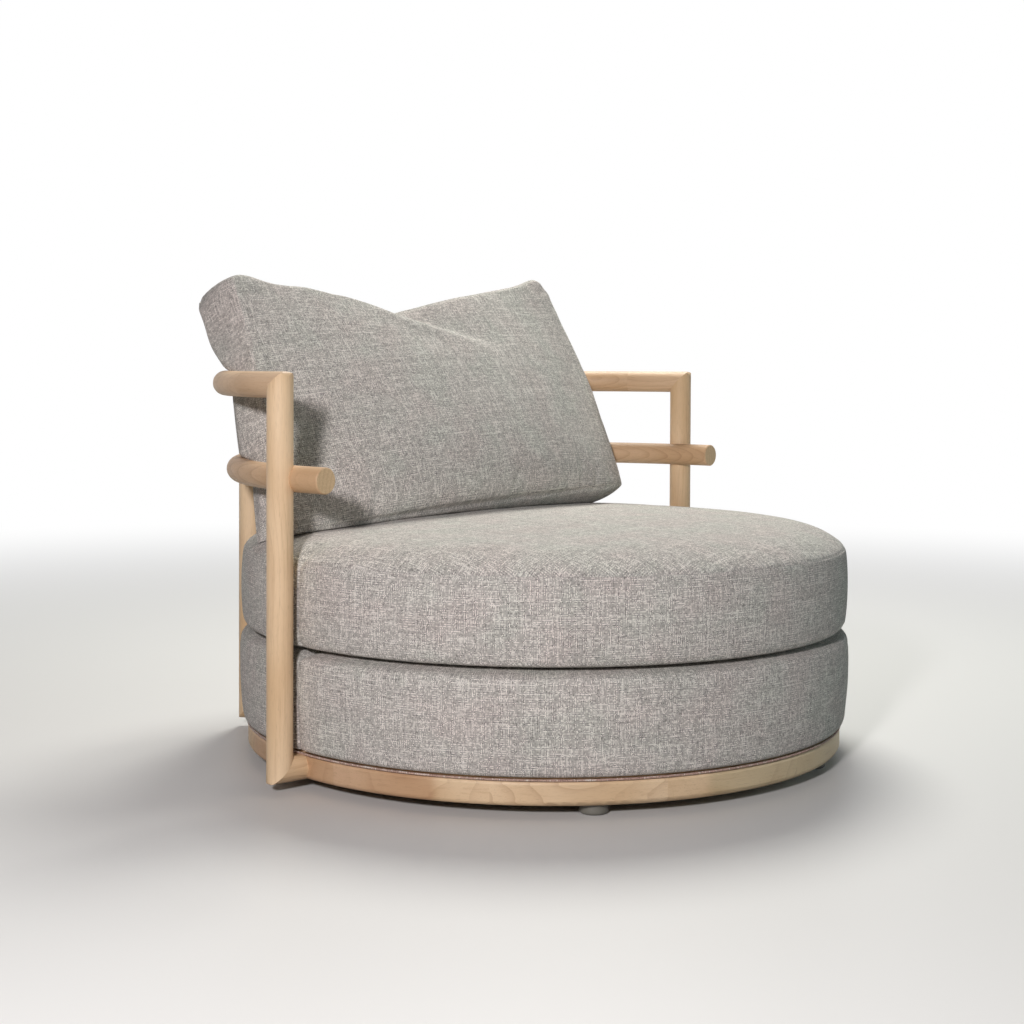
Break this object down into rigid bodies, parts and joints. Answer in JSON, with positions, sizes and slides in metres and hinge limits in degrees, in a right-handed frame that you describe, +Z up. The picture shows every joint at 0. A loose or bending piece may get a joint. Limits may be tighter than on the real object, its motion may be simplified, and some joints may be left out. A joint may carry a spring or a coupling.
{
  "type": "round lounge chair",
  "caption": "Round lounge chair: an upholstered drum on a wooden ring, a loose round seat cushion, a leaning back cushion and a horseshoe frame of round wooden dowels.",
  "frame": {"origin": "on the floor under the middle of the chair's outline seen from above", "axes": "+X to the sitter's left (the right side seen from the front), +Y to the back, +Z up; the chair faces -Y"},
  "size_m": [1.1438, 1.1105, 0.8458],
  "materials": {
    "dowel_wood": "satin",
    "ring_wood": "satin",
    "pin_wood": "matte",
    "board": "matte",
    "upholstery": "matte",
    "plain_cloth": "matte",
    "foam": "matte",
    "glide_plastic": "matte",
    "steel": "satin"
  },
  "bodies": {
    "frame": {"top_rail_front_right": "dowel_wood", "top_rail_back_right": "dowel_wood", "top_rail_back_left": "dowel_wood", "top_rail_front_left": "dowel_wood", "lower_rail_right": "dowel_wood", "lower_rail_left": "dowel_wood", "front_right_post": "dowel_wood", "front_right_stub": "dowel_wood", "rear_right_post": "dowel_wood", "rear_right_stub": "dowel_wood", "rear_left_post": "dowel_wood", "rear_left_stub": "dowel_wood", "front_left_post": "dowel_wood", "front_left_stub": "dowel_wood", "plinth_ring_right": "ring_wood", "plinth_ring_back": "ring_wood", "plinth_ring_left": "ring_wood", "plinth_ring_front": "ring_wood", "rail_joint_pins": "pin_wood", "mitre_pins": "pin_wood", "rear_post_pins": "pin_wood", "lap_pins": "pin_wood", "glide_1": "glide_plastic", "glide_2": "glide_plastic", "glide_3": "glide_plastic", "glide_4": "glide_plastic", "glide_5": "glide_plastic", "glide_6": "glide_plastic", "base_board": "board", "deck_board": "board", "side_panel": "board", "upright_1": "board", "upright_2": "board", "upright_3": "board", "upright_4": "board", "upright_5": "board", "upright_6": "board", "upright_7": "board", "upright_8": "board", "stub_bolts": "steel", "plinth_screws": "steel", "glide_screws": "steel", "drum_cover": "upholstery", "drum_welt": "upholstery", "deck_cloth": "plain_cloth", "dust_cover": "plain_cloth", "side_foam": "foam", "deck_pad": "foam"},
    "seat_cushion": {"seat_cushion_cover": "upholstery", "seat_cushion_foam": "foam"},
    "back_cushion": {"back_cushion_cover": "upholstery", "back_cushion_fill": "foam"}
  },
  "joints": [
    {"name": "seat_cushion_draw", "type": "slide", "parent": "frame", "child": "seat_cushion", "axis": [0, -1, 0], "range_m": [0, 0.6]},
    {"name": "back_cushion_lift", "type": "slide", "parent": "seat_cushion", "child": "back_cushion", "axis": [0, -0.9135, 0.4067], "range_m": [0, 0.35]}
  ]
}
